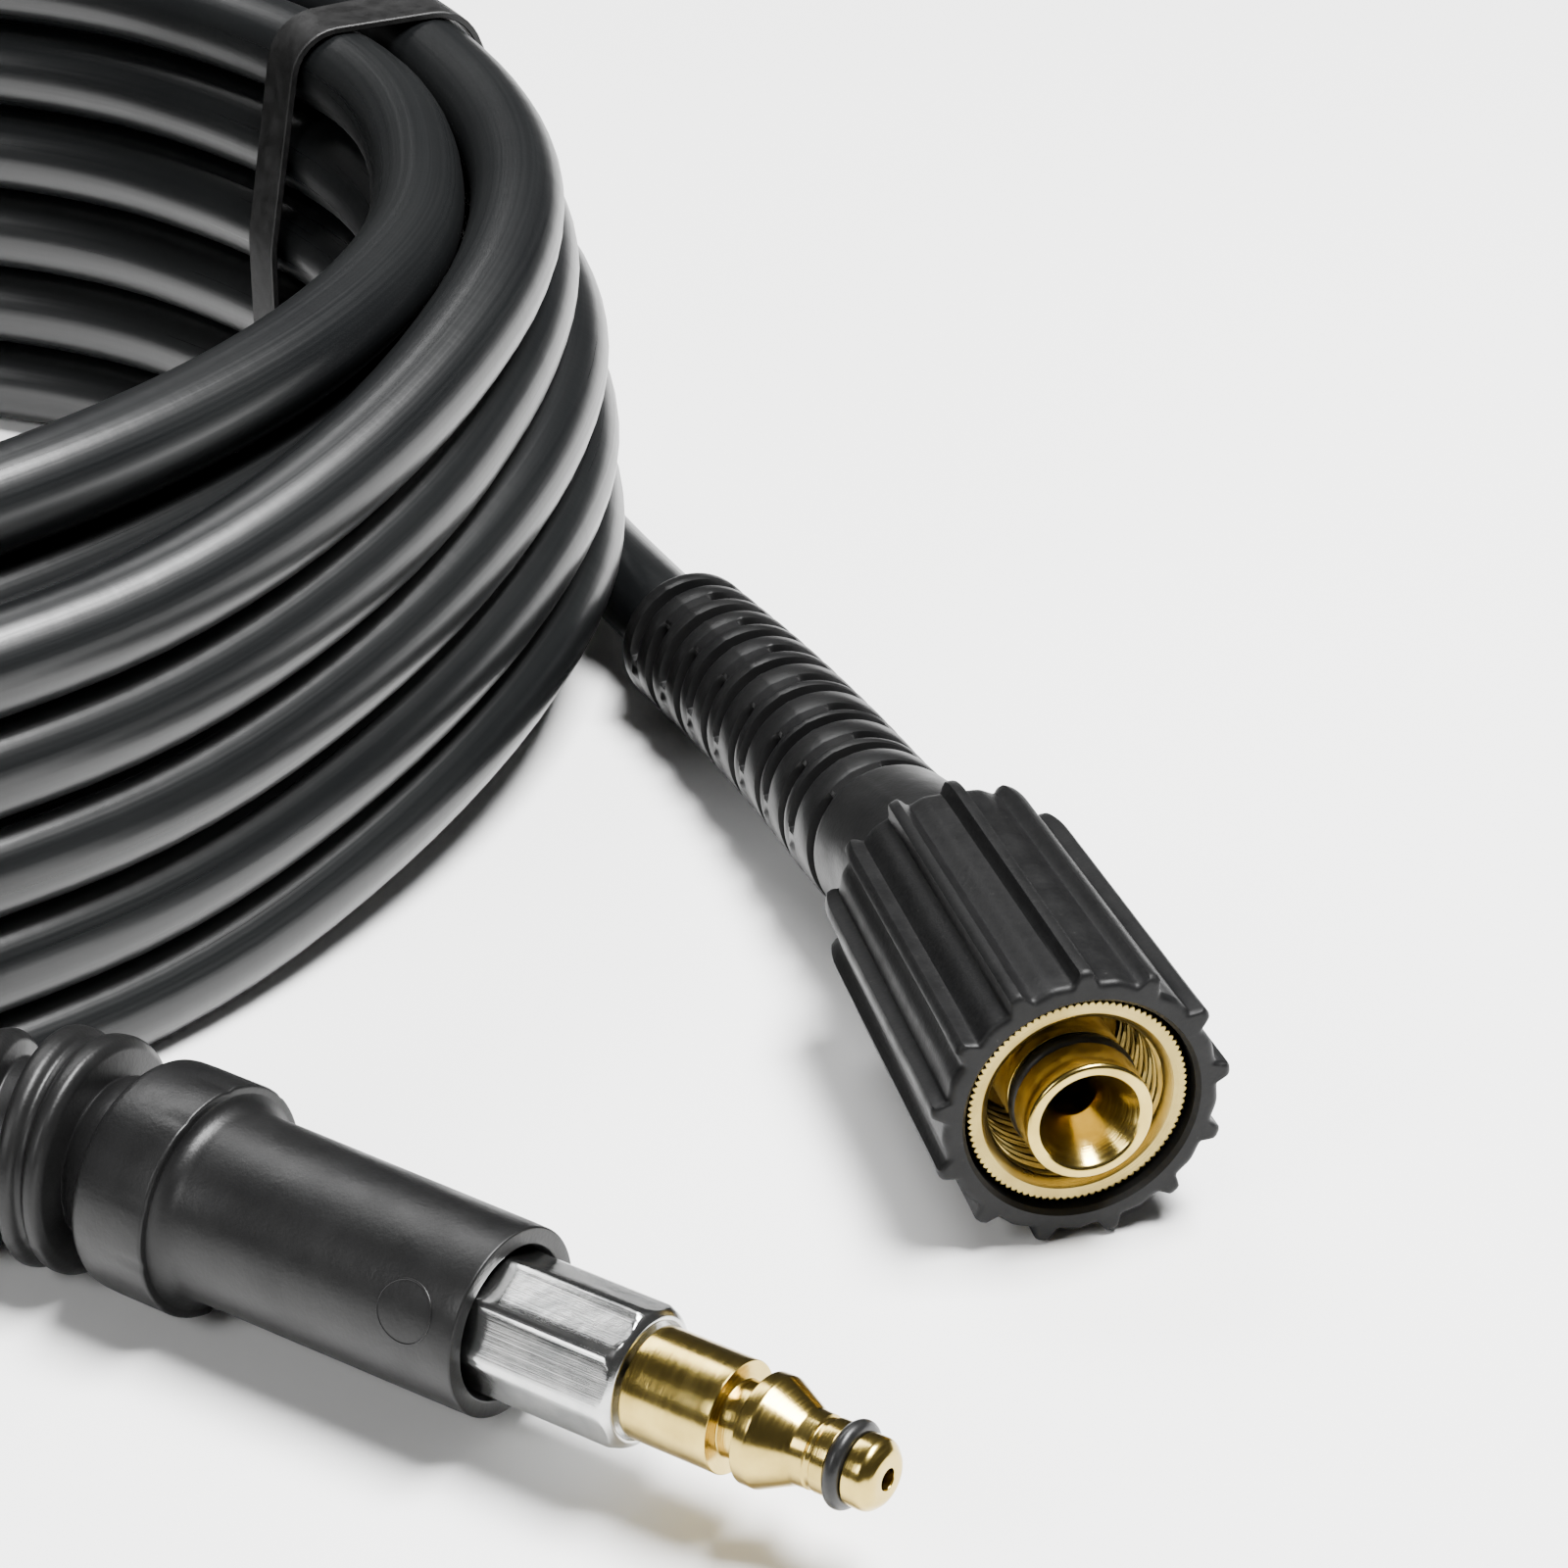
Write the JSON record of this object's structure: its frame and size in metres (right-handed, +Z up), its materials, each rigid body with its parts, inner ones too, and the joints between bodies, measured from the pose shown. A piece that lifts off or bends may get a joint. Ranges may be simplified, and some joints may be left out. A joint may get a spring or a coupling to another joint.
{
  "type": "pressure washer hose",
  "caption": "Coiled black high-pressure hose with a swivelling ribbed screw fitting on one end and a push-in brass plug with a sleeve on the other.",
  "frame": {"origin": "centre of the underside of the box round the screw fitting's pieces (nut, thread insert, nipple, seal and bend protector), on the floor", "axes": "-Y along the nut's axis, out of its front face; +Z up; the coil lies towards -X and +Y"},
  "size_m": [0.3241, 0.3756, 0.089],
  "materials": {
    "hose_rubber": "satin",
    "moulded_black": "satin",
    "grip_black": "matte, fine grain",
    "strap_black": "satin",
    "brass": "polished",
    "plated_steel": "polished",
    "seal_rubber": "satin"
  },
  "bodies": {
    "hose": {"hose_coil": "hose_rubber", "hose_nut_end": "hose_rubber", "hose_plug_end": "hose_rubber", "bend_protector_nut_end": "moulded_black", "nipple": "brass", "seal_nut_end": "seal_rubber", "bend_protector_plug_end": "moulded_black", "plug_sleeve": "moulded_black", "crimp_ferrule": "plated_steel", "brass_plug": "brass", "seal_plug_end": "seal_rubber", "strap": "strap_black"},
    "nut": {"nut_shell": "grip_black", "thread_insert": "brass"}
  },
  "joints": [
    {"name": "nut_swivel", "type": "hinge", "parent": "hose", "child": "nut", "pos_m": [0.00046, -0.06974, 0.01763], "axis": [0, -1, 0], "continuous": true}
  ]
}
